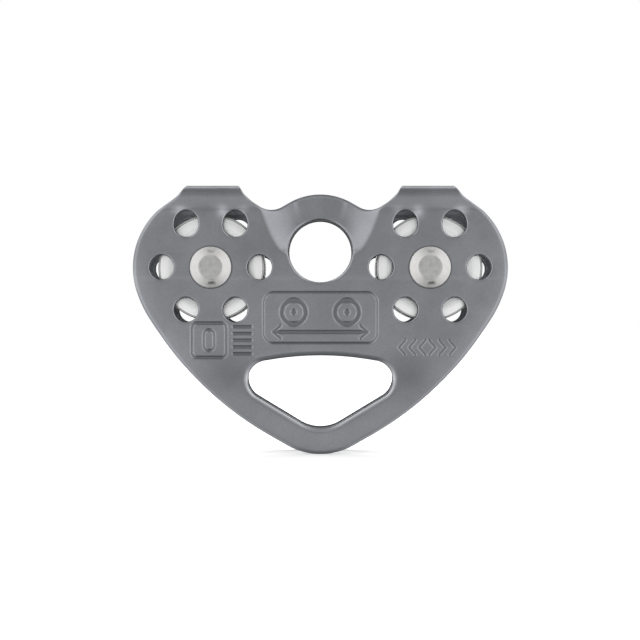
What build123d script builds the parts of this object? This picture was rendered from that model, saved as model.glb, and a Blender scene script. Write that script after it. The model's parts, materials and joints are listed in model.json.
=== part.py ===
from build123d import *
import os

# Rope pulley with two sheaves in line, for ropes up to 13 mm.
# Millimetres. +X runs along the rope, +Z is up in use, and the front plate faces -Y.
# The origin is the midpoint of the rope's centreline, under the two sheaves.

# Rope and sheaves
ROPE_D = 13.0
TREAD_D = 21.0
SHEAVE_R = 17.5
SHEAVE_WIDTH = 14.5
GROOVE_R = 6.6
AXLE_X = 35.85
AXLE_Z = (TREAD_D + ROPE_D) / 2

# Folded frame: one strip of plate makes both side plates and a strap over each sheave
PLATE_T = 3.0
PLATE_GAP = 16.0
INNER_Y = PLATE_GAP / 2
OUTER_Y = INNER_Y + PLATE_T
TOP_Z = 44.1
BOTTOM_Z = -44.1
BEND_LINE_Z = 36.8
TAB_LEAN = 10.0
STRAP_BEND_R = 5.0
STRAP_HALF_FLAT = 5.5
REACH = 70.0

# Carabiner eye between the sheaves, with both plates pressed inward above it
EYE_Z = 22.4
EYE_R = 10.3
PINCH_DEPTH = 3.4
PINCH_FLARE = 0.53
PINCH_TOP_Z = 50.0
PINCH_BASE = (12.0, 21.5)
PINCH_FLOOR = (5.7, 35.0)

# Lightening holes round each axle; the bend above draws the two upper ones out
HOLE_R = 4.0
HOLE_CIRCLE_R = 16.0
HOLE_DRAW = 0.85
UPPER_HOLE_ANGLES = (60, 120)
OTHER_HOLE_ANGLES = (0, 180, 240, 300)

# Axle rivet, sleeve and washers, which stay with the frame
RIVET_SHANK_R = 4.0
RIVET_HEAD_R = 6.8
RIVET_HEAD_H = 2.2
RIVET_RIM_H = 0.8
RIVET_FLAT_R = 3.95
WASHER_T = 0.6
WASHER_R = 8.0
SLEEVE_R = 5.5
SLEEVE_CHAMFER = 0.3

# Flanged bushings, which turn with the sheave
RUNNING_FIT = 0.05
END_PLAY = 0.08
BUSHING_R = 6.75
BUSHING_FLANGE_R = 8.2
BUSHING_MID_GAP = 1.0
COUNTERBORE_R = 8.3
COUNTERBORE_DEPTH = 1.0
RIM_CHAMFER = 0.3

# Right half of the frame's outline, as corners (x, z) with their rounding radii
OUTLINE_HALF = [
    ((5.58, 41.1), 20.0),
    ((16.43, 34.6), 6.8),
    ((22.9, 38.9), 21.0),
    ((27.3, TOP_Z), 1.0),
    ((43.95, TOP_Z), 1.0),
    ((48.1, 39.7), 45.0),
    ((66.0, 26.09), 25.4),
    ((58.3, 3.77), 38.0),
    ((39.03, -25.4), 108.0),
    ((5.84, BOTTOM_Z), 22.0),
]
# Lower opening, as corners (x, z) with their rounding radii
LOWER_OPENING = [
    ((0.0, -10.6), 98.0),
    ((35.3, -16.3), 6.3),
    ((0.0, -37.65), 12.2),
    ((-35.3, -16.3), 6.3),
]

os.makedirs("parts", exist_ok=True)


def mirrored(half):
    """The half outline followed by its reflection in x = 0, in order round the loop."""
    return half + [((-x, z), r) for (x, z), r in reversed(half)]


def rounded_loop(corners):
    """A closed line through the corners, each rounded by its own radius. Used inside a BuildLine."""
    return FilletPolyline(*[p for p, r in corners], radius=[r for p, r in corners], close=True)


def export(piece, name):
    """Label a finished piece and write its STEP."""
    piece.label = name
    export_step(piece, f"parts/{name}.step")


# Press tool for the pinch: a wedge that is PINCH_DEPTH deep above the eye and runs out beside it
with BuildPart() as recess:
    for depth, (half_width, low_z) in ((0, PINCH_BASE), (PINCH_DEPTH, PINCH_FLOOR)):
        top_half = half_width + PINCH_FLARE * (PINCH_TOP_Z - low_z)
        with BuildSketch(Plane.XZ.offset(OUTER_Y - depth)):
            with BuildLine():
                Polyline(
                    (-half_width, low_z),
                    (half_width, low_z),
                    (top_half, PINCH_TOP_Z),
                    (-top_half, PINCH_TOP_Z),
                    close=True,
                )
            make_face()
    loft(ruled=True)

# The same wedge one plate thickness deeper, which the pinched plate fills
with BuildPart() as bulge:
    add(recess.part.moved(Location((0, PLATE_T, 0))))

# Frame
with BuildPart() as frame:
    # folded channel: upright plates, tabs that lean in above the bend line, straps across the top
    with BuildSketch(Plane.YZ):
        with BuildLine():
            plate = Line((OUTER_Y, -REACH), (OUTER_Y, BEND_LINE_Z))
            strap = Line((0, TOP_Z), (STRAP_HALF_FLAT, TOP_Z))
            bend = JernArc(strap @ 1, (1, 0), STRAP_BEND_R, TAB_LEAN - 90)
            Line(bend @ 1, plate @ 1)
            Line(strap @ 0, (0, -REACH))
            Line((0, -REACH), plate @ 0)
        make_face()
        mirror(about=Plane.YZ)
        offset(amount=-PLATE_T, mode=Mode.SUBTRACT)
    extrude(amount=REACH, both=True)
    # pinched plates in the middle, open between them
    add(bulge.part)
    add(bulge.part.mirror(Plane.XZ))
    add(recess.part, mode=Mode.SUBTRACT)
    add(recess.part.mirror(Plane.XZ), mode=Mode.SUBTRACT)
    with Locations((0, 0, PINCH_TOP_Z)):
        Box(
            2 * PINCH_BASE[0],
            2 * (INNER_Y - PINCH_DEPTH),
            2 * (PINCH_TOP_Z - EYE_Z),
            mode=Mode.SUBTRACT,
        )
    # outline
    with BuildSketch(Plane.XZ.offset(-OUTER_Y)):
        with BuildLine():
            rounded_loop(mirrored(OUTLINE_HALF))
        make_face()
    extrude(amount=2 * OUTER_Y, mode=Mode.INTERSECT)
    # lower opening, eye, axle holes and lightening holes, through both plates
    with BuildSketch(Plane.XZ):
        with BuildLine():
            rounded_loop(LOWER_OPENING)
        make_face()
        with Locations((0, EYE_Z)):
            Circle(EYE_R)
        for axle_x in (-AXLE_X, AXLE_X):
            with Locations((axle_x, AXLE_Z)):
                Circle(RIVET_SHANK_R)
                for angle in OTHER_HOLE_ANGLES:
                    with PolarLocations(HOLE_CIRCLE_R, 1, angle):
                        Circle(HOLE_R)
                for angle in UPPER_HOLE_ANGLES:
                    with PolarLocations(HOLE_CIRCLE_R, 1, angle, rotate=False):
                        Circle(HOLE_R)
                        with Locations((0, HOLE_DRAW)):
                            Circle(HOLE_R)
                        with Locations((0, HOLE_DRAW / 2)):
                            Rectangle(2 * HOLE_R, HOLE_DRAW)
    extrude(amount=REACH, both=True, mode=Mode.SUBTRACT)
export(frame.part, "frame")

for side, axle_x in (("left", -AXLE_X), ("right", AXLE_X)):
    axle_centre = (axle_x, 0, AXLE_Z)
    axle_line = Axis(axle_centre, (0, 1, 0))
    # profiles are drawn with X as the radius from the axle line and Y along it
    profile_plane = Plane(origin=axle_centre, x_dir=(1, 0, 0), z_dir=(0, 0, 1))
    face_y = INNER_Y - WASHER_T

    # axle: a rivet with a flat-topped cone head on both plates
    with BuildPart() as axle:
        with BuildSketch(profile_plane):
            with BuildLine():
                Polyline(
                    (0, 0),
                    (RIVET_SHANK_R, 0),
                    (RIVET_SHANK_R, OUTER_Y),
                    (RIVET_HEAD_R, OUTER_Y),
                    (RIVET_HEAD_R, OUTER_Y + RIVET_RIM_H),
                    (RIVET_FLAT_R, OUTER_Y + RIVET_HEAD_H),
                    (0, OUTER_Y + RIVET_HEAD_H),
                    close=True,
                )
            make_face()
            mirror(about=Plane.XZ)
        revolve(axis=axle_line)
    export(axle.part, f"{side}_axle")

    # sleeve that the plates are clamped on, and that the sheave runs on
    with BuildPart() as sleeve:
        with BuildSketch(profile_plane):
            with Locations(((RIVET_SHANK_R + SLEEVE_R) / 2, 0)):
                Rectangle(SLEEVE_R - RIVET_SHANK_R, 2 * face_y)
        revolve(axis=axle_line)
        outer_edges = sleeve.edges().filter_by(GeomType.CIRCLE).group_by(SortBy.RADIUS)[-1]
        chamfer(outer_edges, SLEEVE_CHAMFER)
    export(sleeve.part, f"{side}_axle_sleeve")

    # sheave: rope groove, flat flanges, counterbored for the bushing flanges
    with BuildPart() as sheave:
        half_width = SHEAVE_WIDTH / 2
        with BuildSketch(profile_plane):
            with BuildLine():
                floor_y = half_width - COUNTERBORE_DEPTH
                groove_r = TREAD_D / 2 + GROOVE_R
                bore = Polyline(
                    (BUSHING_R, 0),
                    (BUSHING_R, floor_y),
                    (COUNTERBORE_R, floor_y),
                    (COUNTERBORE_R, half_width),
                    (SHEAVE_R - RIM_CHAMFER, half_width),
                    (SHEAVE_R, half_width - RIM_CHAMFER),
                    (SHEAVE_R, GROOVE_R),
                    (groove_r, GROOVE_R),
                )
                groove = JernArc(bore @ 1, (-1, 0), GROOVE_R, 90)
                Line(groove @ 1, bore @ 0)
            make_face()
            mirror(about=Plane.XZ)
        revolve(axis=axle_line)
    export(sheave.part, f"{side}_sheave")

    for end, way in (("front", -1), ("rear", 1)):
        # thrust washer clamped between the sleeve and the plate
        with BuildPart() as washer:
            with BuildSketch(profile_plane):
                with Locations(((RIVET_SHANK_R + WASHER_R) / 2, way * (INNER_Y - WASHER_T / 2))):
                    Rectangle(WASHER_R - RIVET_SHANK_R, WASHER_T)
            revolve(axis=axle_line)
        export(washer.part, f"{side}_thrust_washer_{end}")

        # flanged bushing pressed into the sheave from this side
        with BuildPart() as bushing:
            bore_r = SLEEVE_R + RUNNING_FIT
            flange_y = face_y - END_PLAY
            with BuildSketch(profile_plane):
                with BuildLine():
                    Polyline(
                        (bore_r, way * BUSHING_MID_GAP / 2),
                        (BUSHING_R, way * BUSHING_MID_GAP / 2),
                        (BUSHING_R, way * floor_y),
                        (BUSHING_FLANGE_R, way * floor_y),
                        (BUSHING_FLANGE_R, way * flange_y),
                        (bore_r, way * flange_y),
                        close=True,
                    )
                make_face()
            revolve(axis=axle_line)
        export(bushing.part, f"{side}_bushing_{end}")
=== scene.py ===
import bpy
import json
import math
from collections import namedtuple

import numpy as np
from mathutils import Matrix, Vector
from mathutils.geometry import delaunay_2d_cdt


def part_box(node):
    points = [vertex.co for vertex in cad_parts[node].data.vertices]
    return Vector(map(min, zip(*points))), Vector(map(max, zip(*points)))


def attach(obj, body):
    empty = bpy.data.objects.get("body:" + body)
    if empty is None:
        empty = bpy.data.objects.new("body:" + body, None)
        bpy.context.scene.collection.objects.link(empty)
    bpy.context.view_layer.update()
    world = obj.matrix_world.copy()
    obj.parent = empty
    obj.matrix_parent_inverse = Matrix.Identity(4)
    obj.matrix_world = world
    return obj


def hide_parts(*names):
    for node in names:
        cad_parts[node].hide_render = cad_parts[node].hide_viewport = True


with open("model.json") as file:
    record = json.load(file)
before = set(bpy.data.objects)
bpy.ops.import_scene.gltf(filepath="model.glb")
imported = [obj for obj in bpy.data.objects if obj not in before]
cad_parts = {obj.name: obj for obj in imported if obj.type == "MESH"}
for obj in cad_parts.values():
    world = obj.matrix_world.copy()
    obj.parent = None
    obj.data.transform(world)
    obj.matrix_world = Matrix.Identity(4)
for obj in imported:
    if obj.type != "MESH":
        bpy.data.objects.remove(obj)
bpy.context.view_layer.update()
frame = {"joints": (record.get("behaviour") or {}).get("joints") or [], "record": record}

# Lengths are in millimetres, as in the CAD, until a mesh is made. In a material they are in metres.
MM = 0.001

# Places and sizes that come from the CAD frame
RIGHT_AXLE = next(joint["pos_m"] for joint in frame["joints"] if joint["child"] == "right_wheel")
AXLE_X = RIGHT_AXLE[0] / MM
AXLE_Z = RIGHT_AXLE[2] / MM
EYE = next(mount for mount in frame["record"]["mounts"] if mount["name"] == "centre_eye")
EYE_Z = EYE["pos_m"][2] / MM
EYE_R = EYE["dims"]["r_mm"]
FRAME_LOW, FRAME_HIGH = (np.array(corner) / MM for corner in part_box("frame"))
OUTER_Y = FRAME_HIGH[1]
TOP_Z = FRAME_HIGH[2]
BOTTOM_Z = FRAME_LOW[2]

# Sheet, and the fold that carries it over the top, as the outer face's line in Y-Z
PLATE_T = 3.0
LEAN = math.radians(10.0)
BEND_LINE_Z = 36.2
LEAN_R = 8.0
STRAP_R = 5.4
LEAN_START = BEND_LINE_Z - LEAN_R * math.tan(LEAN / 2)
LEAN_END = LEAN_START + LEAN_R * LEAN
LEAN_RISE = TOP_Z - LEAN_START - LEAN_R * math.sin(LEAN) - STRAP_R * (1 - math.sin(LEAN))
LEAN_LENGTH = LEAN_RISE / math.cos(LEAN)
STRAP_START = LEAN_END + LEAN_LENGTH
STRAP_END = STRAP_START + STRAP_R * (math.pi / 2 - LEAN)
FLAT_HALF = (
    OUTER_Y
    - LEAN_R * (1 - math.cos(LEAN))
    - LEAN_LENGTH * math.sin(LEAN)
    - STRAP_R * math.cos(LEAN)
)
MID = STRAP_END + FLAT_HALF

# The sheet is folded where |x| is above the first, and upright below it, blended over the second
FOLD_FROM_X = 18.0
FOLD_BLEND = 6.0

# Corners (x, s, radius), where s runs up the sheet's outer face: s is z until the fold begins
OUTER_HALF = [
    (43.9, STRAP_END, 2.0),
    (44.95, 43.8, 12.0),
    (46.6, 41.1, 8.0),
    (48.1, 39.6, 12.0),
    (66.0, 26.09, 25.4),
    (58.3, 3.77, 38.0),
    (39.03, -25.4, 108.0),
    (5.84, BOTTOM_Z, 22.0),
]
WINDOW_HALF = [
    (5.58, 41.1, 20.0),
    (16.43, 34.6, 6.8),
    (22.9, 39.0, 14.0),
    (25.6, 42.25, 8.0),
    (27.3, STRAP_END, 2.0),
]
LOWER_OPENING = [
    (0.0, -10.6, 98.0),
    (35.3, -16.3, 6.3),
    (0.0, -37.65, 12.2),
    (-35.3, -16.3, 6.3),
]
AXLE_HOLE_R = 4.0
HOLE_R = 4.0
HOLE_CIRCLE_R = 16.0
HOLE_COUNT = 6
UPPER_HOLES = (1, 2)
HOLE_DRAW = 0.85
REAR_HOLE_DROP = 1.1
REAR_OPENING_GROWTH = 0.6
REAR_EYE_GROWTH = 0.2

# An edge: how far its rounding reaches in and down, the tilt (radians) at which its painted shade is half
# dark, how much rope and carabiners polish it and how strong a highlight is painted there, and how dark the
# painted shade on its wall is
Edge = namedtuple("Edge", "inset depth dark_from polish shade")
OUTLINE_EDGE = Edge(1.2, 0.8, 1.2, 0.0, 0.5)
WINDOW_EDGE = Edge(1.0, 0.8, 0.9, 0.0, 0.7)
OPENING_EDGE = Edge(1.8, 1.25, 1.45, 1.0, 1.0)
EYE_EDGE = Edge(0.75, 0.8, 1.1, 0.8, 1.0)
AXLE_HOLE_EDGE = Edge(0.1, 0.1, 1.0, 0.0, 1.0)
HOLE_EDGE = Edge(0.5, 0.5, 1.2, 0.05, 1.0)
INNER_INSET = 0.4
INNER_SHADE = 0.4
DARK_BLEND = 0.5
# tilt from which an edge is polished and given a painted highlight, and the blend; steepest rise of an edge
# that is, and the blend
POLISH_SHEEN_FROM = 0.5
POLISH_SHEEN_BLEND = 0.3
RUB_SHEEN_LIMIT = 0.75
RUB_SHEEN_BLEND = 0.6
# tilts of the rows round a rounding, and levels of the wall between two roundings
TILTS = np.linspace(0, math.pi / 2, 9)
WALL_LEVELS = 4

# Roundings over the straps are crisper: by this share, from this height, over this height
STRAP_CRISPNESS = 0.65
CRISP_FROM_Z = 40.5
CRISP_BLEND = 3.0

# Pinch above the eye: half width at the eye's centre, and how it widens above it
PINCH_HALF = 12.2
PINCH_FLARE = 1.53
PINCH_FLARE_POWER = 0.6
# slope of its sides, how they ease off, and a low step at their foot
PINCH_SLOPE = 0.36
PINCH_EASE = 0.0085
PINCH_EASE_RUN = 16.0
PINCH_STEP = 0.22
PINCH_STEP_FROM = 11.0
PINCH_STEP_RUN = 2.2
# depth of its flat at a height, and how it deepens above that
PINCH_DEPTH = 3.0
PINCH_DEPTH_Z = 33.0
PINCH_DEEPENING = 0.09
PINCH_BLEND = 0.5
PINCH_BELOW_EYE = 9

# The sheet near its bend line: drawn out above the upper holes, and in between them
DRAWN_MID_X = 37.0
DRAWN_FROM_X = 18.5
DRAWN_FROM_BLEND = 2.5
DRAWN_TO_X = 52.0
DRAWN_TO_BLEND = 3.0
DRAWN_OUT = 0.1
DRAWN_OUT_Z = 35.6
DRAWN_OUT_SPREAD = 1.3
DRAWN_IN = 0.045
DRAWN_IN_Z = 36.2
DRAWN_IN_SPREAD = 1.1

# The sheet falls away inward near its outline, except near the fold
DROOP = 0.3
DROOP_REACH = 6.5
DROOP_TOP_Z = 37.0
DROOP_FADE = 8.0

# Painted highlights on the shoulders of the upper holes, near the bend: middle |x| and z, half width and
# height, share
SHOULDER_HIGHLIGHTS = [(45.8, 35.7, 2.0, 1.3, 1.0), (32.0, 35.1, 1.7, 1.9, 1.0), (25.2, 35.9, 1.5, 1.2, 0.45)]
# share of the painted highlights kept on the rear plate
REAR_HIGHLIGHT_SHARE = 0.3
# Painted shade on the plate beside the lower opening's ends: middle |x| and z, half width and height
OPENING_ENDS_SHADE = (28.0, -18.0, 9.0, 8.0)

# Marks stamped in the front plate: depth, width of their sloping walls, and half widths of their lines
MARK_DEPTH = 0.32
MARK_WALL = 0.4
THIN_LINE = 0.26
BAR_LINE = 0.42
BADGE_LINE = 0.45
CAPSULE_LINE = 0.4
HEAD_LINE = 0.5
ROPE_LINE = 0.55
WHEEL_LINE = 0.8
HUB_R = 1.0
# a panel with two wheels on a rope that runs both ways
PANEL_CENTRE = (0, 0.5)
PANEL_HALF = (18.6, 8.3)
PANEL_CORNER_R = 3.4
WHEEL_X = 8.7
WHEEL_Z = 2.3
WHEEL_R = 3.9
ROPE_Z = -4.2
ROPE_END_X = 15.4
ARROW_HEAD = (2.3, 2.0)
# a capsule in a square badge, and a list of bars beside it
BADGE_X = -36.4
BADGE_Z = -6.9
BADGE_HALF = 5.6
BADGE_CORNER_R = 1.6
CAPSULE_HALF = 1.7
CAPSULE_R = 1.7
BAR_COUNT = 5
BAR_FROM_X = -28.4
BAR_TO_X = -22.6
BAR_TOP_Z = -2.5
BAR_PITCH = 2.2
# chevrons that point both ways
CHEVRON_COUNT = 6
CHEVRON_FROM_X = 26.7
CHEVRON_PITCH = 3.3
CHEVRON_Z = -9.25
CHEVRON_HALF_HEIGHT = 2.3

# Meshes: step along the edges, grids over the sheet, and boxes (low, high) where the grid is finer
ARC_STEP = 0.1
EDGE_STEP = 0.45
GRID = 0.8
INNER_GRID = 1.3 * GRID
MARK_GRID = 0.2
FOLD_GRID = 0.3
GRID_HALF_X = 62
GRID_MARGIN = 1
GRID_TO_EDGE = 0.3
EDGE_REACH = 2.0
FLAT_AREA = 1e-4
MARK_BOXES = [((-20, -8.9), (20, 9.9)), ((-43.2, -14.2), (-20.8, 0.4)), ((23.8, -12.6), (46.2, -5.8))]
FOLD_BOXES = [((-53, 33.8), (-15, 38.6)), ((15, 33.8), (53, 38.6))]


# ---------------------------------------------------------------- outlines


def unit(vector):
    return vector / np.linalg.norm(vector)


def rounded_path(corners, arc_step):
    """A closed loop of (x, y, radius) corners as points: arcs at the corners, straight between them."""
    path = []
    for i, (corner_x, corner_y, radius) in enumerate(corners):
        before = np.array(corners[i - 1][:2], float)
        corner = np.array((corner_x, corner_y), float)
        after = np.array(corners[(i + 1) % len(corners)][:2], float)
        u, v = unit(corner - before), unit(after - corner)
        turn = math.atan2(u[0] * v[1] - u[1] * v[0], u @ v)
        left = np.array((-u[1], u[0])) * math.copysign(1.0, turn)
        centre = corner - u * radius * abs(math.tan(turn / 2)) + radius * left
        count = max(1, math.ceil(abs(turn) * radius / arc_step))
        for k in range(count + 1):
            angle = abs(turn) * k / count
            path.append(centre + radius * (u * math.sin(angle) - left * math.cos(angle)))
    return np.array(path)


def evenly(path, step):
    """The closed path again, with points a step apart."""
    closed = np.vstack([path, path[:1]])
    length = np.r_[0, np.cumsum(np.linalg.norm(np.diff(closed, axis=0), axis=1))]
    at = np.linspace(0, length[-1], round(length[-1] / step), endpoint=False)
    return np.c_[np.interp(at, length, closed[:, 0]), np.interp(at, length, closed[:, 1])]


def flipped(corners):
    """Corners reflected in x = 0, in reverse order."""
    return [(-x, s, radius) for x, s, radius in reversed(corners)]


def over_fold(corners):
    """Corners carried over the fold to the rear plate, in reverse order."""
    return [(x, 2 * MID - s, radius) for x, s, radius in reversed(corners)]


def points_over_fold(points):
    """Points carried over the fold to the rear plate, in reverse order."""
    return np.c_[points[:, 0], 2 * MID - points[:, 1]][::-1]


def along(loop):
    """Direction of the closed loop at each of its points."""
    chord = np.roll(loop, -1, axis=0) - np.roll(loop, 1, axis=0)
    return chord / np.linalg.norm(chord, axis=1)[:, None]


def inset(loop, distance):
    """The loop moved towards the metal, which is on its left."""
    direction = along(loop)
    return loop + np.reshape(distance, (-1, 1)) * np.c_[-direction[:, 1], direction[:, 0]]


def ring(centre, radius, draw=0.0):
    """A hole's edge, run clockwise. draw lengthens the hole towards the fold."""
    count = round(2 * math.pi * radius / EDGE_STEP)
    angle = -np.arange(count) * 2 * math.pi / count
    reach = radius + draw * np.maximum(0, np.sin(angle)) ** 2
    return np.c_[centre[0] + reach * np.cos(angle), centre[1] + reach * np.sin(angle)]


def plate_holes():
    """The holes of both plates, the front plate's first: (points, edge)."""
    for rear in (False, True):
        carried = points_over_fold if rear else np.array
        opening = carried(evenly(rounded_path(LOWER_OPENING, ARC_STEP), EDGE_STEP))
        if rear:
            opening = inset(opening, REAR_OPENING_GROWTH)
        yield opening, OPENING_EDGE
        yield carried(ring((0, EYE_Z), EYE_R + (REAR_EYE_GROWTH if rear else 0.0))), EYE_EDGE
        for axle_x in (-AXLE_X, AXLE_X):
            yield carried(ring((axle_x, AXLE_Z), AXLE_HOLE_R)), AXLE_HOLE_EDGE
            for k in range(HOLE_COUNT):
                angle = 2 * math.pi * k / HOLE_COUNT
                x = axle_x + HOLE_CIRCLE_R * math.cos(angle)
                z = AXLE_Z + HOLE_CIRCLE_R * math.sin(angle)
                upper = k in UPPER_HOLES
                if upper and rear:
                    z -= REAR_HOLE_DROP
                yield carried(ring((x, z), HOLE_R, HOLE_DRAW if upper and not rear else 0.0)), HOLE_EDGE


def sheet_loops():
    """Every edge of the sheet: (points with the metal on their left, edge)."""
    half = OUTER_HALF + flipped(OUTER_HALF)
    # the right side goes down, so the loop is reversed to run anticlockwise
    outer = evenly(rounded_path(half + over_fold(half), ARC_STEP), EDGE_STEP)[::-1]
    low = WINDOW_HALF[::-1] + flipped(WINDOW_HALF)[::-1]
    window = evenly(rounded_path(low + over_fold(low), ARC_STEP), EDGE_STEP)
    return [(outer, OUTLINE_EDGE), (window, WINDOW_EDGE), *plate_holes()]


# ---------------------------------------------------------------- the sheet's form


def smooth_step(t):
    t = np.clip(t, 0, 1)
    return t * t * (3 - 2 * t)


def soft_positive(value, blend):
    """The value where it is positive and 0 where it is negative, blended over about `blend`."""
    return 0.5 * (value + np.sqrt(value * value + blend * blend))


def bell(value, middle, spread):
    """1 at the middle, falling off to both sides."""
    return np.exp(-(((value - middle) / spread) ** 2))


def pinch(x, z):
    """How far a plate is pressed inward above the eye: sides that ease off, and a flat between them."""
    rise = z - EYE_Z
    flare = np.where(rise > 0, PINCH_FLARE * np.maximum(rise, 0) ** PINCH_FLARE_POWER, rise)
    run = soft_positive(PINCH_HALF + flare - np.abs(x), PINCH_BLEND)
    side = run * (PINCH_SLOPE - PINCH_EASE * np.minimum(run, PINCH_EASE_RUN))
    side = side + PINCH_STEP * smooth_step((run - PINCH_STEP_FROM) / PINCH_STEP_RUN)
    floor = PINCH_DEPTH + PINCH_DEEPENING * (z - PINCH_DEPTH_Z)
    return (floor - soft_positive(floor - side, PINCH_BLEND)) * (z > EYE_Z - PINCH_BELOW_EYE)


def drawn(x, up):
    """How far in the sheet lies near its bend line: out above the upper holes, and in between them."""
    side = np.abs(x)
    wave = np.cos(2 * math.pi * (side - DRAWN_MID_X) / HOLE_CIRCLE_R)
    share = smooth_step((side - DRAWN_FROM_X) / DRAWN_FROM_BLEND)
    share = share * smooth_step((DRAWN_TO_X - side) / DRAWN_TO_BLEND)
    out = DRAWN_OUT * np.maximum(-wave, 0.0) * bell(up, DRAWN_OUT_Z, DRAWN_OUT_SPREAD)
    inward = DRAWN_IN * np.maximum(wave, 0.0) * bell(up, DRAWN_IN_Z, DRAWN_IN_SPREAD)
    return (inward - out) * share


def droop(points, outline):
    """How far the sheet falls away inward towards its outline."""
    return DROOP * (1 - clearance(points, [outline], DROOP_REACH) / DROOP_REACH) ** 2


def folded(x, s, depth, fall):
    """The place of (x, s) on the sheet, `depth` in from its outer face, with the sheet `fall` inward."""
    rear = s > MID
    up = np.where(rear, 2 * MID - s, s)
    first = np.clip((up - LEAN_START) / LEAN_R, 0, LEAN)
    straight = np.clip(up - LEAN_END, 0, LEAN_LENGTH)
    second = np.clip((up - STRAP_START) / STRAP_R, 0, math.pi / 2 - LEAN)
    flat = np.clip(up - STRAP_END, 0, None)
    tilt = first + second
    z = np.minimum(up, LEAN_START) + LEAN_R * np.sin(first) + straight * math.cos(LEAN)
    z = z + STRAP_R * (np.sin(LEAN + second) - math.sin(LEAN))
    y = -OUTER_Y + LEAN_R * (1 - np.cos(first)) + straight * math.sin(LEAN) + flat
    y = y + STRAP_R * (math.cos(LEAN) - np.cos(LEAN + second))
    y, z = y + depth * np.cos(tilt), z - depth * np.sin(tilt)
    # the middle of the sheet stays upright, and is pinched instead
    fold = smooth_step((np.abs(x) - FOLD_FROM_X) / FOLD_BLEND)
    y = fold * y + (1 - fold) * (depth - OUTER_Y)
    z = fold * z + (1 - fold) * up
    y = y + pinch(x, z) + drawn(x, up) + fall * smooth_step((DROOP_TOP_Z - up) / DROOP_FADE)
    return np.c_[x, np.where(rear, -y, y), z]


def sharpness(loop):
    """Share of its rounding that each point of an edge keeps: less over the straps, which are crisper."""
    up = np.minimum(loop[:, 1], 2 * MID - loop[:, 1])
    return 1 - STRAP_CRISPNESS * smooth_step((up - CRISP_FROM_Z) / CRISP_BLEND)


def rope_and_sheen_side(loop):
    """1 where the metal lies beside or below an edge, which rope and carabiners rub and where a highlight is
    painted, and 0 above it.
    """
    upward = along(loop)[:, 0] * np.where(loop[:, 1] > MID, -1, 1)
    return smooth_step((RUB_SHEEN_LIMIT - upward) / RUB_SHEEN_BLEND)


def shoulder_highlight(x, z):
    """Where highlights are painted on the shoulders of the upper holes, near the bend, from 0 to 1."""
    total = np.zeros_like(x)
    for middle_x, middle_z, wide, high, share in SHOULDER_HIGHLIGHTS:
        total += share * bell(np.abs(x), middle_x, wide) * bell(z, middle_z, high)
    return total


def shade_beside_opening(x, z):
    """Where painted shade darkens the plate beside the lower opening's ends, from 0 to 1."""
    middle_x, middle_z, wide, high = OPENING_ENDS_SHADE
    return bell(np.abs(x), middle_x, wide) * bell(z, middle_z, high)


# ---------------------------------------------------------------- marks stamped in the front plate


def to_line(x, z, start, end):
    """Distance to the straight line between two points."""
    dx, dz = end[0] - start[0], end[1] - start[1]
    t = np.clip(((x - start[0]) * dx + (z - start[1]) * dz) / (dx * dx + dz * dz), 0, 1)
    return np.hypot(x - start[0] - t * dx, z - start[1] - t * dz)


def to_ring(x, z, centre, radius):
    return np.abs(np.hypot(x - centre[0], z - centre[1]) - radius)


def to_box(x, z, centre, half, radius):
    """Distance to the outline of a box with rounded corners."""
    px = np.abs(x - centre[0]) - half[0] + radius
    pz = np.abs(z - centre[1]) - half[1] + radius
    outside = np.hypot(np.maximum(px, 0), np.maximum(pz, 0))
    return np.abs(outside + np.minimum(np.maximum(px, pz), 0) - radius)


def panel_lines(x, z):
    """Two wheels on a rope that runs both ways, in a frame: (distance, half width of the line)."""
    yield to_box(x, z, PANEL_CENTRE, PANEL_HALF, PANEL_CORNER_R), THIN_LINE
    for way in (-1, 1):
        wheel = (way * WHEEL_X, WHEEL_Z)
        yield to_ring(x, z, wheel, WHEEL_R), WHEEL_LINE
        yield to_ring(x, z, wheel, 0.0), HUB_R
        tip = (way * ROPE_END_X, ROPE_Z)
        yield to_line(x, z, (0, ROPE_Z), tip), ROPE_LINE
        for side in (-1, 1):
            barb = (tip[0] - way * ARROW_HEAD[0], tip[1] + side * ARROW_HEAD[1])
            yield to_line(x, z, tip, barb), HEAD_LINE


def badge_lines(x, z):
    """An upright capsule in a square, and a list of bars: (distance, half width of the line)."""
    yield to_box(x, z, (BADGE_X, BADGE_Z), (BADGE_HALF, BADGE_HALF), BADGE_CORNER_R), BADGE_LINE
    ends = [(BADGE_X, BADGE_Z + way * CAPSULE_HALF) for way in (-1, 1)]
    yield np.abs(to_line(x, z, *ends) - CAPSULE_R), CAPSULE_LINE
    for row in range(BAR_COUNT):
        height = BAR_TOP_Z - BAR_PITCH * row
        yield to_line(x, z, (BAR_FROM_X, height), (BAR_TO_X, height)), BAR_LINE


def chevron_lines(x, z):
    """Chevrons that point both ways: (distance, half width of the line)."""
    for k in range(CHEVRON_COUNT):
        way = -1 if k < CHEVRON_COUNT / 2 else 1
        middle = CHEVRON_FROM_X + CHEVRON_PITCH * k
        for side in (-1, 1):
            end = (middle - way, CHEVRON_Z + side * CHEVRON_HALF_HEIGHT)
            yield to_line(x, z, (middle + way, CHEVRON_Z), end), BAR_LINE


def marks(x, z):
    """Depth of the marks stamped in the front plate."""
    stamped = np.zeros_like(x)
    for drawing in (panel_lines, badge_lines, chevron_lines):
        for distance, half_width in drawing(x, z):
            line = smooth_step((half_width + MARK_WALL / 2 - distance) / MARK_WALL)
            stamped = np.maximum(stamped, line)
    return MARK_DEPTH * stamped


# ---------------------------------------------------------------- triangles over the sheet


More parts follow.
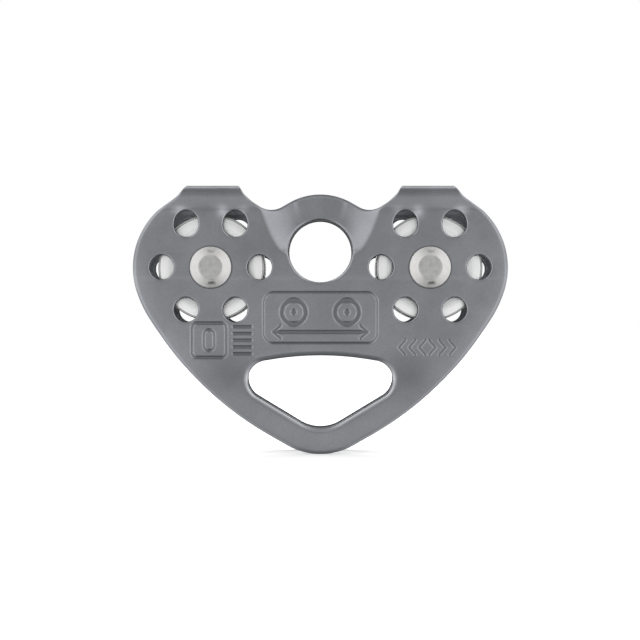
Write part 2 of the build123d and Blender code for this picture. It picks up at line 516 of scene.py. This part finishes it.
def inside(points, loop):
    """Which points lie inside the loop."""
    result = np.zeros(len(points), bool)
    px, py = points[:, 0], points[:, 1]
    for (ax, ay), (bx, by) in zip(loop, np.roll(loop, -1, axis=0)):
        if ay == by:
            continue
        crosses = (ay > py) != (by > py)
        result ^= crosses & (px < (bx - ax) * (py - ay) / (by - ay) + ax)
    return result


def on_metal(points, loops):
    """Which points lie inside the first loop and outside the others, which are holes in it."""
    outer, *holes = loops
    result = inside(points, outer)
    for hole in holes:
        low, high = hole.min(0) - 1, hole.max(0) + 1
        near = np.flatnonzero(result & np.all((points > low) & (points < high), axis=1))
        result[near[inside(points[near], hole)]] = False
    return result


def clearance(points, loops, reach):
    """Distance from each point to the nearest loop point, up to `reach`."""
    cells = {}
    for point in np.vstack(loops):
        cells.setdefault((int(point[0] // reach), int(point[1] // reach)), []).append(point)
    cells = {key: np.array(value) for key, value in cells.items()}
    around = [(i, j) for i in (-1, 0, 1) for j in (-1, 0, 1)]
    result = np.full(len(points), reach)
    keys = np.floor(points / reach).astype(int)
    order = np.lexsort((keys[:, 1], keys[:, 0]))
    splits = np.flatnonzero(np.any(np.diff(keys[order], axis=0), axis=1)) + 1
    for group in np.split(order, splits):
        kx, ky = keys[group[0]]
        near = [cells[kx + i, ky + j] for i, j in around if (kx + i, ky + j) in cells]
        if near:
            gap = points[group][:, None, :] - np.vstack(near)[None, :, :]
            result[group] = np.minimum(reach, np.sqrt((gap**2).sum(2).min(1)))
    return result


def hexagonal(low, high, step):
    """Points of a triangular grid over a rectangle."""
    rows = np.arange(low[1], high[1], step * math.sqrt(3) / 2)
    columns = np.arange(low[0], high[0], step)
    x = np.add.outer(np.where(np.arange(len(rows)) % 2, step / 2, 0.0), columns)
    y = np.repeat(rows[:, None], len(columns), axis=1)
    return np.c_[x.ravel(), y.ravel()]


def outer_grid(low, high):
    """The outer face's points: a plain grid, and finer ones over the marks and the bend lines."""
    grid = hexagonal(low, high, GRID)
    rear_folds = [
        ((low_x, 2 * MID - high_s), (high_x, 2 * MID - low_s))
        for (low_x, low_s), (high_x, high_s) in FOLD_BOXES
    ]
    in_box = np.zeros(len(grid), bool)
    fine = []
    for boxes, step in ((MARK_BOXES, MARK_GRID), (FOLD_BOXES + rear_folds, FOLD_GRID)):
        for box_low, box_high in boxes:
            in_box |= np.all((grid > box_low) & (grid < box_high), axis=1)
            fine.append(hexagonal(box_low, box_high, step))
    return np.vstack([grid[~in_box], *fine])


def filled(loops, grid):
    """Triangles over the sheet between the loops: (points, triangles). The loops' points come first."""
    grid = grid[on_metal(grid, loops)]
    grid = grid[clearance(grid, loops, EDGE_REACH) > GRID_TO_EDGE]
    points = np.vstack([*loops, grid])
    edges, start = [], 0
    for loop in loops:
        count = len(loop)
        edges += [(start + k, start + (k + 1) % count) for k in range(count)]
        start += count
    _, _, faces, origin, _, _ = delaunay_2d_cdt([Vector(p) for p in points], edges, [], 0, 1e-5, True)
    source = np.array([o[0] for o in origin])
    faces = source[np.array(faces)]
    first, second = points[faces[:, 1]] - points[faces[:, 0]], points[faces[:, 2]] - points[faces[:, 0]]
    area = 0.5 * np.abs(first[:, 0] * second[:, 1] - first[:, 1] * second[:, 0])
    # straight stretches of a loop also give flat triangles, which lie outside it
    return points, faces[on_metal(points[faces].mean(1), loops) & (area > FLAT_AREA)]


# ---------------------------------------------------------------- folded frame

made = []


def new_piece(name, node, vertices, faces, body, slot_name, origin=(0, 0, 0), attributes=None):
    """A smooth mesh, from points in millimetres about its origin, that rides on a body for a CAD node."""
    mesh = bpy.data.meshes.new(name)
    mesh.from_pydata((vertices * MM).tolist(), [], faces)
    mesh.polygons.foreach_set("use_smooth", [True] * len(mesh.polygons))
    for key, values in (attributes or {}).items():
        mesh.attributes.new(key, "FLOAT", "POINT").data.foreach_set("value", np.asarray(values, float))
    mesh.validate()
    piece = bpy.data.objects.new(name, mesh)
    piece.location = [c * MM for c in origin]
    bpy.context.collection.objects.link(piece)
    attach(piece, body)
    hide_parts(node)
    made.append((piece, slot_name))


def edge_rows(edge, crisp):
    """Rows round an edge from the outer face to the inner: (distance in, depth, darkness, tilt)."""
    level = np.ones_like(crisp)
    rows = []
    for tilt in TILTS[1:]:
        dark = smooth_step((tilt - edge.dark_from) / DARK_BLEND + 0.5)
        move = edge.inset * (1 - math.sin(tilt))
        depth = edge.depth * (1 - math.cos(tilt))
        rows.append((move * crisp, depth * crisp, dark, tilt))
    back = min(INNER_INSET, edge.inset)
    for depth in np.linspace(edge.depth, PLATE_T - back, WALL_LEVELS)[1:-1]:
        rows.append((0.0 * level, depth * level, 1.0, 0.0))
    for tilt in TILTS[:-1:2]:
        move = back * (1 - math.cos(tilt))
        depth = PLATE_T - back * (1 - math.sin(tilt))
        rows.append((move * level, depth * level, 1.0, 0.0))
    return rows


def build_frame():
    """The folded sheet: outer face, inner face and rounded edges."""
    loops = sheet_loops()
    outline = loops[0][0]
    low = (-GRID_HALF_X, BOTTOM_Z - GRID_MARGIN)
    high = (GRID_HALF_X, 2 * MID - BOTTOM_Z + GRID_MARGIN)
    outer_loops = [inset(points, edge.inset * sharpness(points)) for points, edge in loops]
    outer, outer_faces = filled(outer_loops, outer_grid(low, high))
    inner_loops = [inset(points, min(INNER_INSET, edge.inset)) for points, edge in loops]
    inner, inner_faces = filled(inner_loops, hexagonal(low, high, INNER_GRID))

    stamped = marks(*outer.T)
    vertices = [folded(*outer.T, stamped, droop(outer, outline))]
    vertices.append(folded(*inner.T, np.full(len(inner), PLATE_T), droop(inner, outline)))
    faces = outer_faces.tolist() + (inner_faces[:, ::-1] + len(outer)).tolist()
    # painted shade: the walls and the inner face are darkened
    walls = [np.zeros(len(outer)), np.full(len(inner), INNER_SHADE)]
    polish_and_sheen_rows = [np.zeros(len(outer) + len(inner))]

    outer_start, inner_start = 0, len(outer)
    count = len(outer) + len(inner)
    for points, edge in loops:
        size = len(points)
        index = [np.arange(size) + outer_start]
        rubbed_and_sheen = rope_and_sheen_side(points) * edge.polish
        for move, depth, dark, tilt in edge_rows(edge, sharpness(points)):
            moved = inset(points, move)
            vertices.append(folded(*moved.T, depth, droop(moved, outline)))
            walls.append(np.full(size, dark * edge.shade))
            polish_and_sheen_rows.append(rubbed_and_sheen * smooth_step((tilt - POLISH_SHEEN_FROM) / POLISH_SHEEN_BLEND) * (1 - dark))
            index.append(np.arange(size) + count)
            count += size
        index.append(np.arange(size) + inner_start)
        for above, below in zip(index, index[1:]):
            faces += np.c_[above, below, np.roll(below, -1), np.roll(above, -1)].tolist()
        outer_start += size
        inner_start += size

    vertices = np.vstack(vertices)
    x, y, z = vertices.T
    attributes = {
        "wall": np.concatenate(walls),
        "polish": np.concatenate(polish_and_sheen_rows),
        "opening_ends_shade": shade_beside_opening(x, z),
        "shoulder_highlight": shoulder_highlight(x, z) * np.where(y > 0, REAR_HIGHLIGHT_SHARE, 1.0),
        "stamp": np.r_[stamped / MARK_DEPTH, np.zeros(len(vertices) - len(outer))],
    }
    new_piece("folded_frame", "frame", vertices, faces, "root", "frame_alloy", attributes=attributes)


build_frame()


# ---------------------------------------------------------------- turned pieces

# Radii from the axle line, and places along it
RIVET_HEAD_R = 6.8
RIVET_FLAT_R = 3.95
RIVET_RIM_Y = 11.8
RIVET_TOP_Y = 13.2
SHEAVE_R = 17.5
SHEAVE_HALF = 7.25
TREAD_R = 10.5
GROOVE_R = 6.6
COUNTERBORE_R = 8.3
COUNTERBORE_Y = 6.25
SLEEVE_R = 5.5
WASHER_R = 8.0
WASHER_Y = 7.4
PLATE_Y = 8.0
BUSHING_R = 6.75
BUSHING_BORE_R = 5.55
BUSHING_FLANGE_R = 8.2
BUSHING_FLANGE_Y = 7.32
BUSHING_INNER_Y = 0.5
SEGMENTS = 192
PROFILE_STEP = 0.12
SHORTEST_ROW = 0.02


def turned(node, profile, axle_x, body, slot_name):
    """A profile of (radius, place along the axle, rounding), turned about an axle.

    A profile that starts on the axle runs from one end to the other.
    """
    solid = profile[0][0] == 0
    if solid:
        mirrored = [(-r, y, e) for r, y, e in reversed(profile) if r > 0]
        path = rounded_path(profile + mirrored, PROFILE_STEP)
        path = path[path[:, 0] > 1e-6]
    else:
        path = rounded_path(profile, PROFILE_STEP)
    rows = [path[0]]
    for point in path[1:]:
        if np.linalg.norm(point - rows[-1]) > SHORTEST_ROW:
            rows.append(point)
    rows = np.array(rows)
    angle = np.arange(SEGMENTS) * 2 * math.pi / SEGMENTS
    x = np.outer(rows[:, 0], np.cos(angle))
    z = np.outer(rows[:, 0], np.sin(angle))
    y = np.repeat(rows[:, 1:], SEGMENTS, axis=1)
    vertices = np.stack([x, y, z], axis=2).reshape(-1, 3)
    grid = np.arange(len(vertices)).reshape(len(rows), SEGMENTS)
    closed = grid if solid else np.vstack([grid, grid[:1]])
    faces = []
    for near, far in zip(closed, closed[1:]):
        faces += np.c_[near, np.roll(near, -1), np.roll(far, -1), far].tolist()
    if solid:
        tips = np.array([(0, rows[0, 1], 0), (0, rows[-1, 1], 0)])
        first, last = len(vertices), len(vertices) + 1
        vertices = np.vstack([vertices, tips])
        faces += [(first, int(j), int(i)) for i, j in zip(grid[0], np.roll(grid[0], -1))]
        faces += [(last, int(i), int(j)) for i, j in zip(grid[-1], np.roll(grid[-1], -1))]
    new_piece("turned_" + node, node, vertices, faces, body, slot_name, origin=(axle_x, 0, AXLE_Z))


def other_end(profile):
    """The profile reflected at the other end of the axle, in reverse order."""
    return [(r, -y, e) for r, y, e in reversed(profile)]


def rivet_profile():
    half = [
        (0, RIVET_TOP_Y - 0.08, 0),
        (RIVET_FLAT_R - 0.75, RIVET_TOP_Y, 2.0),
        (RIVET_FLAT_R, RIVET_TOP_Y - 0.04, 0.5),
        (RIVET_HEAD_R, RIVET_RIM_Y, 0.45),
        (RIVET_HEAD_R, OUTER_Y, 0.12),
        (AXLE_HOLE_R, OUTER_Y, 0.1),
    ]
    return half + other_end(half)


def sheave_profile():
    half = [
        (BUSHING_R, COUNTERBORE_Y, 0.05),
        (COUNTERBORE_R, COUNTERBORE_Y, 0.05),
        (COUNTERBORE_R, SHEAVE_HALF, 0.15),
        (SHEAVE_R, SHEAVE_HALF, 0.4),
        (SHEAVE_R, GROOVE_R, 0.15),
    ]
    for t in np.linspace(0, math.pi / 2, 24)[:-1]:
        half.append((TREAD_R + GROOVE_R * (1 - math.sin(t)), GROOVE_R * math.cos(t), 0.0))
    return half + [(TREAD_R, 0, 0)] + other_end(half)


def ring_profile(bore_r, outer_r, low_y, high_y, rounding):
    corners = ((bore_r, high_y), (outer_r, high_y), (outer_r, low_y), (bore_r, low_y))
    return [(r, y, rounding) for r, y in corners]


def bushing_profile(way):
    half = [
        (BUSHING_BORE_R, BUSHING_INNER_Y, 0.1),
        (BUSHING_BORE_R, BUSHING_FLANGE_Y, 0.25),
        (BUSHING_FLANGE_R, BUSHING_FLANGE_Y, 0.2),
        (BUSHING_FLANGE_R, COUNTERBORE_Y, 0.05),
        (BUSHING_R, COUNTERBORE_Y, 0.05),
        (BUSHING_R, BUSHING_INNER_Y, 0.1),
    ]
    return half if way > 0 else other_end(half)


def pieces_on_axle(side):
    """The turned pieces on one side's axle: (part, profile, body, material slot)."""
    wheel = side + "_wheel"
    sleeve = ring_profile(AXLE_HOLE_R, SLEEVE_R, -WASHER_Y, WASHER_Y, 0.25)
    yield "axle", rivet_profile(), "root", "rivet_steel"
    yield "axle_sleeve", sleeve, "root", "sleeve_steel"
    yield "sheave", sheave_profile(), wheel, "sheave_alloy"
    for end, way in (("front", -1), ("rear", 1)):
        low_y, high_y = sorted((way * WASHER_Y, way * PLATE_Y))
        washer = ring_profile(AXLE_HOLE_R, WASHER_R, low_y, high_y, 0.1)
        yield "thrust_washer_" + end, washer, "root", "washer_steel"
        yield "bushing_" + end, bushing_profile(way), wheel, "bushing_bronze"


for side, axle_x in (("left", -AXLE_X), ("right", AXLE_X)):
    for part, profile, body, slot_name in pieces_on_axle(side):
        turned(side + "_" + part, profile, axle_x, body, slot_name)


# ---------------------------------------------------------------- materials


class Tree:
    """A node tree, with short ways to add nodes and join them."""

    def __init__(self, node_tree):
        self.nodes = node_tree.nodes
        self.links = node_tree.links

    def add(self, kind, **settings):
        node = self.nodes.new("ShaderNode" + kind)
        for key, value in settings.items():
            setattr(node, key, value)
        return node

    def feed(self, socket, source):
        """Join a socket to a source, or set it to a number, a vector or a colour."""
        if isinstance(source, bpy.types.NodeSocket):
            self.links.new(source, socket)
        elif socket.type == "RGBA":
            socket.default_value = (*source, 1)
        else:
            socket.default_value = source

    def calc(self, operation, *values):
        node = self.add("Math", operation=operation)
        for socket, value in zip(node.inputs, values):
            self.feed(socket, value)
        return node.outputs[0]

    def axes(self, vector):
        node = self.add("SeparateXYZ")
        self.feed(node.inputs[0], vector)
        return node.outputs

    def span(self, value, low, high, from_low=0.3, from_high=0.7):
        """The value, carried from one range to another. The usual range is a noise's."""
        node = self.add("MapRange")
        node.inputs["From Min"].default_value = from_low
        node.inputs["From Max"].default_value = from_high
        node.inputs["To Min"].default_value = low
        node.inputs["To Max"].default_value = high
        self.feed(node.inputs["Value"], value)
        return node.outputs[0]

    def curve(self, value, points):
        """The value, carried along a smooth curve through the points."""
        node = self.add("FloatCurve")
        line = node.mapping.curves[0].points
        line[0].location, line[1].location = points[0], points[-1]
        for point in points[1:-1]:
            line.new(*point)
        node.mapping.update()
        self.feed(node.inputs["Value"], value)
        return node.outputs[0]


class Surface(Tree):
    """A material's node tree."""

    def __init__(self, name):
        self.material = bpy.data.materials.new(name)
        self.material.use_nodes = True
        super().__init__(self.material.node_tree)
        self.shader = self.nodes["Principled BSDF"]
        self.place = self.add("TexCoord").outputs["Object"]

    def attribute(self, name):
        return self.add("Attribute", attribute_name=name).outputs["Fac"]

    def noise(self, scale, detail=3.0, rough=0.55, seed=0.0):
        node = self.add("TexNoise", noise_dimensions="4D")
        node.inputs["Scale"].default_value = scale
        node.inputs["Detail"].default_value = detail
        node.inputs["Roughness"].default_value = rough
        node.inputs["W"].default_value = seed
        self.feed(node.inputs["Vector"], self.place)
        return node.outputs["Fac"]

    def axle_distance(self):
        """Distance from the axle of a piece whose origin is on it, in metres."""
        flat = self.add("VectorMath", operation="MULTIPLY")
        flat.inputs[1].default_value = (1, 0, 1)
        self.feed(flat.inputs[0], self.place)
        length = self.add("VectorMath", operation="LENGTH")
        self.feed(length.inputs[0], flat.outputs[0])
        return length.outputs["Value"]

    def rivet_distance(self):
        """Distance from the nearer axle, on a piece whose origin is midway between the two, in metres."""
        axes = self.axes(self.place)
        middle = self.add("CombineXYZ")
        self.feed(middle.inputs["X"], self.calc("ABSOLUTE", axes["X"]))
        self.feed(middle.inputs["Z"], axes["Z"])
        gap = self.add("VectorMath", operation="DISTANCE")
        gap.inputs[1].default_value = (AXLE_X * MM, 0, AXLE_Z * MM)
        self.feed(gap.inputs[0], middle.outputs[0])
        return gap.outputs["Value"]

    def rings(self, scale, detail=4.0, seed=0.0):
        """Noise that changes with the distance from the axle alone."""
        node = self.add("TexNoise", noise_dimensions="1D")
        node.inputs["Scale"].default_value = scale
        node.inputs["Detail"].default_value = detail
        self.feed(node.inputs["W"], self.calc("ADD", self.axle_distance(), seed))
        return node.outputs["Fac"]

    def rise(self, value, start, end):
        """0 to 1 as a length goes from start to end, both in millimetres."""
        return self.span(value, 0.0, 1.0, start * MM, end * MM)

    def fall(self, value, start, end):
        """1 to 0 as a length goes from start to end, both in millimetres."""
        return self.span(value, 1.0, 0.0, start * MM, end * MM)

    def tint(self, value, *stops):
        """A colour ramp of (position, colour) stops."""
        node = self.add("ValToRGB")
        elements = node.color_ramp.elements
        elements[0].position, elements[0].color = stops[0][0], (*stops[0][1], 1)
        elements[1].position, elements[1].color = stops[-1][0], (*stops[-1][1], 1)
        for position, colour in stops[1:-1]:
            elements.new(position).color = (*colour, 1)
        self.feed(node.inputs[0], value)
        return node.outputs[0]

    def mix(self, factor, first, second, blend="MIX"):
        node = self.add("Mix", data_type="RGBA", blend_type=blend)
        for target, source in ((0, factor), (6, first), (7, second)):
            self.feed(node.inputs[target], source)
        return node.outputs[2]

    def toward(self, colour, other, value, share):
        """The colour, carried towards another by up to `share` as the value goes from 0 to 1."""
        return self.mix(self.span(value, 0.0, share, 0.0, 1.0), colour, other)

    def speckled(self, colour, value, share):
        """The colour, made a little lighter and darker by a noise."""
        return self.mix(share, colour, self.tint(value, (0.3, grey(0.4)), (0.7, grey(0.6))), "OVERLAY")

    def bump(self, height, distance, under=None):
        node = self.add("Bump")
        node.inputs["Strength"].default_value = 1.0
        node.inputs["Distance"].default_value = distance
        self.feed(node.inputs["Height"], height)
        if under is not None:
            self.feed(node.inputs["Normal"], under)
        return node.outputs[0]

    def metal(self, colour, roughness, normal):
        self.shader.inputs["Metallic"].default_value = 1.0
        self.feed(self.shader.inputs["Base Color"], colour)
        self.feed(self.shader.inputs["Roughness"], roughness)
        self.feed(self.shader.inputs["Normal"], normal)
        return self.material


def grey(level):
    return (level, level, level)


def shade(colour, factor):
    return tuple(c * factor for c in colour)


def frame_alloy():
    """Grey satin anodised aluminium."""
    t = Surface("grey_anodised_aluminium")
    alloy = (0.256, 0.262, 0.281)
    rubbed_and_sheen = (0.48, 0.49, 0.51)
    wall_shade_colour = (0.05, 0.052, 0.056)
    cloud = t.noise(70.0, 5.0, 0.6, seed=2.0)
    colour = t.tint(cloud, (0.3, shade(alloy, 0.9)), (0.7, shade(alloy, 1.1)))
    colour = t.speckled(colour, t.noise(2600.0, 3.0, 0.7, seed=5.0), 0.5)
    # painted shade: the stamped marks are darker in their grooves
    colour = t.toward(colour, shade(alloy, 0.3), t.attribute("stamp"), 0.5)
    # painted shade beside the lower opening's ends
    colour = t.toward(colour, shade(alloy, 0.4), t.attribute("opening_ends_shade"), 0.4)
    # painted highlight on the shoulders of the upper holes
    colour = t.toward(colour, shade(alloy, 2.5), t.attribute("shoulder_highlight"), 0.65)
    # painted shadow: a dark line round each rivet head, where it meets the plate
    seat = t.rivet_distance()
    line = t.calc(
        "MULTIPLY",
        t.rise(seat, RIVET_HEAD_R - 0.2, RIVET_HEAD_R),
        t.fall(seat, RIVET_HEAD_R + 0.1, RIVET_HEAD_R + 0.5),
    )
    colour = t.toward(colour, shade(alloy, 0.25), line, 0.75)
    # lips of the openings lighter, partly rope polish and partly painted highlight; walls and inner faces
    # darker, as painted shade
    colour = t.toward(colour, rubbed_and_sheen, t.attribute("polish"), 0.8)
    colour = t.toward(colour, wall_shade_colour, t.attribute("wall"), 0.85)
    # a dark edge tint keeps grazing faces from shining
    t.shader.inputs["Specular Tint"].default_value = (*grey(0.3), 1)
    rough = t.span(t.noise(140.0, 4.0, 0.6, seed=9.0), 0.27, 0.33)
    normal = t.bump(t.noise(1500.0, 3.0, 0.6, seed=11.0), 0.004 * MM)
    normal = t.bump(t.noise(90.0, 2.0, 0.5, seed=13.0), 0.06 * MM, under=normal)
    return t.metal(colour, rough, normal)


def sheave_alloy():
    """Bright turned aluminium, with fine rings from the lathe tool."""
    t = Surface("turned_aluminium")
    fine = t.rings(2600.0, 2.0)
    broad = t.rings(420.0, 3.0, seed=4.0)
    colour = t.tint(broad, (0.3, (0.8, 0.805, 0.81)), (0.7, grey(0.92)))
    colour = t.speckled(colour, fine, 0.3)
    # painted shade: two dark lines at the rounded edge between the face and the rim
    edge_shade_lines = t.tint(
        t.rise(t.axle_distance(), SHEAVE_R - 1, SHEAVE_R),
        (0.26, grey(0.0)),
        (0.34, grey(0.85)),
        (0.44, grey(0.85)),
        (0.54, grey(0.4)),
        (0.74, grey(0.4)),
        (0.84, grey(0.95)),
    )
    along_axle = t.calc("ABSOLUTE", t.axes(t.place)["Y"])
    edge = t.calc("MULTIPLY", edge_shade_lines, t.rise(along_axle, SHEAVE_HALF - 0.55, SHEAVE_HALF - 0.45))
    colour = t.mix(edge, colour, grey(0.1))
    t.shader.inputs["Anisotropic"].default_value = 0.3
    rough = t.span(t.noise(300.0, 3.0, seed=3.0), 0.26, 0.36)
    normal = t.bump(fine, 0.012 * MM)
    normal = t.bump(broad, 0.02 * MM, under=normal)
    return t.metal(colour, rough, normal)


def painted_cone_shade(t):
    """Strength of the painted shade on a rivet's cone, above and below its flat, ragged and a little to the
    right.
    """
    axes = t.axes(t.place)
    uneven = t.noise(900.0, 3.0, 0.7, seed=6.0)
    shifted = t.calc("SUBTRACT", axes["X"], 0.4 * MM)
    across = t.calc("MULTIPLY_ADD", uneven, 2.0 * MM, t.calc("ABSOLUTE", shifted))
    high = t.calc("MULTIPLY_ADD", uneven, 1.2 * MM, t.calc("ABSOLUTE", axes["Z"]))
    band = t.calc("MULTIPLY", t.rise(high, 5.1, 5.6), t.fall(high, 5.9, 6.5))
    mark = t.calc("MULTIPLY", t.fall(across, 1.7, 2.6), band)
    # the painted shade above is fainter than the one below
    return t.calc("MULTIPLY", mark, t.span(axes["Z"], 0.9, 0.35, -1.0 * MM, 1.0 * MM))


def rivet_steel():
    """Bright steel rivet: a darker mottled flat, and a paler cone with painted shade above and below."""
    t = Surface("rivet_steel")
    patches = t.noise(700.0, 4.0, 0.65, seed=1.0)
    flat = t.tint(patches, (0.25, (0.39, 0.39, 0.385)), (0.75, (0.54, 0.54, 0.53)))
    cone = t.tint(patches, (0.25, (0.5, 0.495, 0.49)), (0.75, (0.65, 0.645, 0.635)))
    on_cone = t.rise(t.axle_distance(), RIVET_FLAT_R - 0.15, RIVET_FLAT_R + 0.25)
    colour = t.mix(painted_cone_shade(t), t.mix(on_cone, flat, cone), grey(0.13))
    rough = t.calc("MULTIPLY_ADD", on_cone, 0.14, t.span(patches, 0.3, 0.42))
    normal = t.bump(t.rings(1500.0, 2.0, seed=2.0), 0.01 * MM)
    normal = t.bump(t.noise(1600.0, 3.0, 0.6, seed=8.0), 0.01 * MM, under=normal)
    return t.metal(colour, rough, normal)


def plain_turned(name, dark, light, low_rough, high_rough):
    """Turned metal between two colours."""
    t = Surface(name)
    fine = t.rings(2200.0, 2.0, seed=7.0)
    colour = t.speckled(t.tint(fine, (0.3, dark), (0.7, light)), t.noise(500.0, 3.0), 0.3)
    rough = t.span(t.noise(600.0, 3.0, seed=4.0), low_rough, high_rough)
    return t.metal(colour, rough, t.bump(fine, 0.01 * MM))


SLOT_MATERIALS = {
    "frame_alloy": frame_alloy(),
    "rivet_steel": rivet_steel(),
    "sleeve_steel": plain_turned("ground_steel", grey(0.5), (0.62, 0.62, 0.61), 0.16, 0.26),
    "sheave_alloy": sheave_alloy(),
    "washer_steel": plain_turned("washer_steel", grey(0.44), (0.56, 0.56, 0.55), 0.24, 0.36),
    "bushing_bronze": plain_turned("bushing_bronze", (0.6, 0.38, 0.17), (0.74, 0.5, 0.25), 0.26, 0.38),
}
for piece, slot_name in made:
    piece.data.materials.append(SLOT_MATERIALS[slot_name])


# ---------------------------------------------------------------- stage: camera, floor and light

# Sizes and places on the stage are in metres, but for the camera's, which are in millimetres
CAMERA_LENS = 89.55
CAMERA_X = -0.12
CAMERA_Z = -0.25
CAMERA_DISTANCE = 520.0
FLOOR_RADIUS = 6.0
FLOOR_GLOW = 0.22
SOFTBOX_SIZE = (1.3, 0.8)
SOFTBOX_BACK = 0.6
SOFTBOX_HEIGHT = 0.53
SOFTBOX_ENERGY = 6.0

# Studio light, as (height of its direction, with the horizon at 0.5; half the strength)
WORLD_HEIGHT = [
    (0.0, 0.18), (0.2, 0.22), (0.35, 0.32), (0.43, 0.52), (0.47, 0.52),
    (0.5, 0.42), (0.53, 0.33), (0.57, 0.22), (0.61, 0.2), (0.66, 0.42),
    (0.7, 0.5), (0.75, 0.42), (0.82, 0.33), (0.92, 0.27), (1.0, 0.22),
]
# and as (how far its direction points sideways; half the strength), which is added
WORLD_SIDE = [(0.0, 0.0), (0.18, 0.03), (0.34, 0.16), (0.48, 0.46), (0.66, 0.46), (0.85, 0.34), (1.0, 0.34)]

scene = bpy.context.scene
scene.view_settings.view_transform = "Standard"

camera_data = bpy.data.cameras.new("camera")
camera_data.lens = CAMERA_LENS
camera_data.sensor_width = 36.0
camera_data.clip_start = 0.01
camera = bpy.data.objects.new("camera", camera_data)
camera.location = (CAMERA_X * MM, -(OUTER_Y + CAMERA_DISTANCE) * MM, CAMERA_Z * MM)
camera.rotation_euler = (math.radians(90), 0, 0)
bpy.context.collection.objects.link(camera)
scene.camera = camera


def pale_floor():
    """A pale matt floor that the pulley stands on."""
    t = Surface("pale_floor")
    colour = t.tint(t.noise(9.0, 3.0, 0.5), (0.3, grey(0.9)), (0.7, grey(0.93)))
    t.feed(t.shader.inputs["Base Color"], colour)
    t.shader.inputs["Roughness"].default_value = 0.9
    t.shader.inputs["Specular IOR Level"].default_value = 0.1
    t.shader.inputs["Emission Color"].default_value = (1, 1, 1, 1)
    t.shader.inputs["Emission Strength"].default_value = FLOOR_GLOW
    return t.material


bpy.ops.mesh.primitive_circle_add(
    vertices=128, radius=FLOOR_RADIUS, fill_type="NGON", location=(0, 0, BOTTOM_Z * MM)
)
floor = bpy.context.object
floor.name = "floor"
floor.data.materials.append(pale_floor())
# metal shows the dim studio below the horizon instead of the floor
floor.visible_glossy = False


def studio_world():
    """A pale studio: dimmer in front and behind, brighter overhead and at both sides, white to the camera."""
    world = bpy.data.worlds.new("studio")
    world.use_nodes = True
    t = Tree(world.node_tree)
    axes = t.axes(t.add("TexCoord").outputs["Generated"])
    upright = t.curve(t.span(axes["Z"], 0.0, 1.0, -1.0, 1.0), WORLD_HEIGHT)
    sideways = t.curve(t.calc("ABSOLUTE", axes["X"]), WORLD_SIDE)
    # both curves hold half the strength, so that they stay below 1
    doubled = t.calc("MULTIPLY", t.calc("ADD", upright, sideways), 2.0)
    strength = t.add("Mix")
    for target, source in ((0, t.add("LightPath").outputs["Is Camera Ray"]), (2, doubled), (3, 1.0)):
        t.feed(strength.inputs[target], source)
    background = t.nodes["Background"]
    t.feed(background.inputs["Strength"], strength.outputs[0])
    background.inputs["Color"].default_value = (1, 1, 1, 1)
    return world


scene.world = studio_world()

# softbox above and behind, aimed at the pulley
softbox = bpy.data.lights.new("softbox", "AREA")
softbox.shape = "RECTANGLE"
softbox.size, softbox.size_y = SOFTBOX_SIZE
softbox.energy = SOFTBOX_ENERGY
overhead = bpy.data.objects.new("softbox", softbox)
overhead.location = (0, SOFTBOX_BACK, SOFTBOX_HEIGHT)
overhead.rotation_euler = (-math.atan2(SOFTBOX_BACK, SOFTBOX_HEIGHT), 0, 0)
overhead.visible_camera = False
bpy.context.collection.objects.link(overhead)
